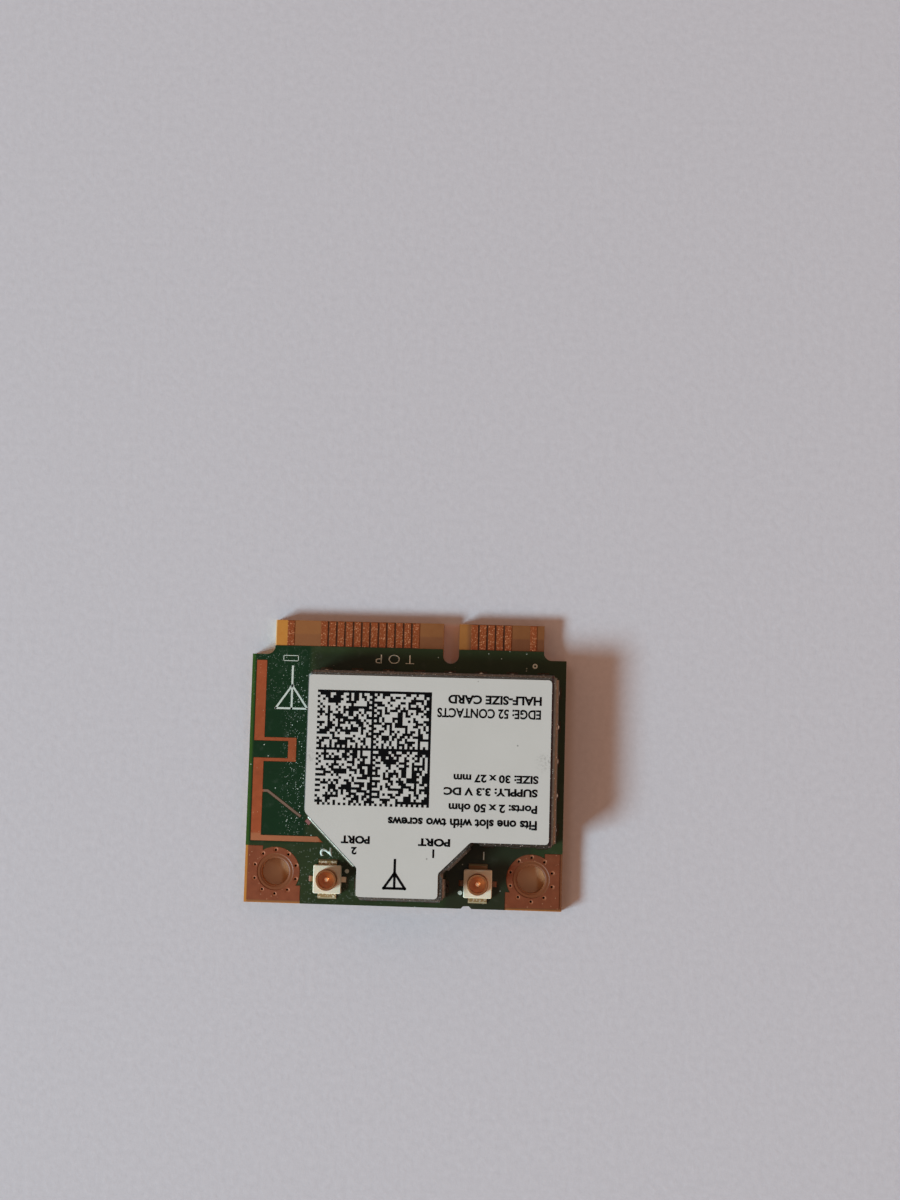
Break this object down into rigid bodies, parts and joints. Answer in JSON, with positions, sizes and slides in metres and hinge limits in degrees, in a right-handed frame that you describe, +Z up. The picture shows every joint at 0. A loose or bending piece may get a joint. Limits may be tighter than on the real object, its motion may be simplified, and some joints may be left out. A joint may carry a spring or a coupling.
{
  "type": "wireless network card",
  "caption": "Half-size plug-in wireless network card: flat circuit board with a notched edge connector, a labelled metal shield, coaxial antenna jacks and a printed antenna.",
  "frame": {"origin": "under the middle of the board's outline, on the surface that the card lies on", "axes": "+X across the card, +Y towards the edge connector, +Z up, away from the bare side"},
  "size_m": [0.03, 0.0268, 0.0033],
  "materials": {
    "laminate": "glass-fibre laminate, bare at the edges",
    "solder_mask": "dark green lacquer",
    "gold": "gold plating",
    "copper": "bare copper with a clear preservative",
    "shield_metal": "tin-plated sheet",
    "solder": "reflowed tin solder",
    "label_paper": "matt white label",
    "jack_plastic": "cream moulding",
    "package_black": "black moulding compound",
    "crystal_metal": "bare metal lid",
    "part_ceramic": "fired ceramic",
    "resistor_ceramic": "black glaze",
    "inductor_ferrite": "grey ferrite"
  },
  "bodies": {
    "root": {"board": "laminate", "solder_mask_top": "solder_mask", "solder_mask_bottom": "solder_mask", "edge_contacts_top": "gold", "edge_contacts_bottom": "gold", "jack_main_shell": "gold", "jack_aux_shell": "gold", "jack_main_contact": "gold", "jack_aux_contact": "gold", "ground_pad_left": "copper", "ground_pad_right": "copper", "ground_pad_left_below": "copper", "ground_pad_right_below": "copper", "printed_antenna": "copper", "feed_pad": "copper", "shield_lands": "copper", "jack_lands": "copper", "shield_frame": "shield_metal", "shield_lid": "shield_metal", "shield_solder": "solder", "jack_solder": "solder", "label": "label_paper", "jack_main_insulator": "jack_plastic", "jack_aux_insulator": "jack_plastic", "radio_chip": "package_black", "memory_chip": "package_black", "voltage_regulator": "package_black", "front_end_main": "package_black", "front_end_aux": "package_black", "crystal": "crystal_metal", "capacitors": "part_ceramic", "band_filters": "part_ceramic", "resistors": "resistor_ceramic", "power_inductors": "inductor_ferrite"}
  },
  "joints": []
}
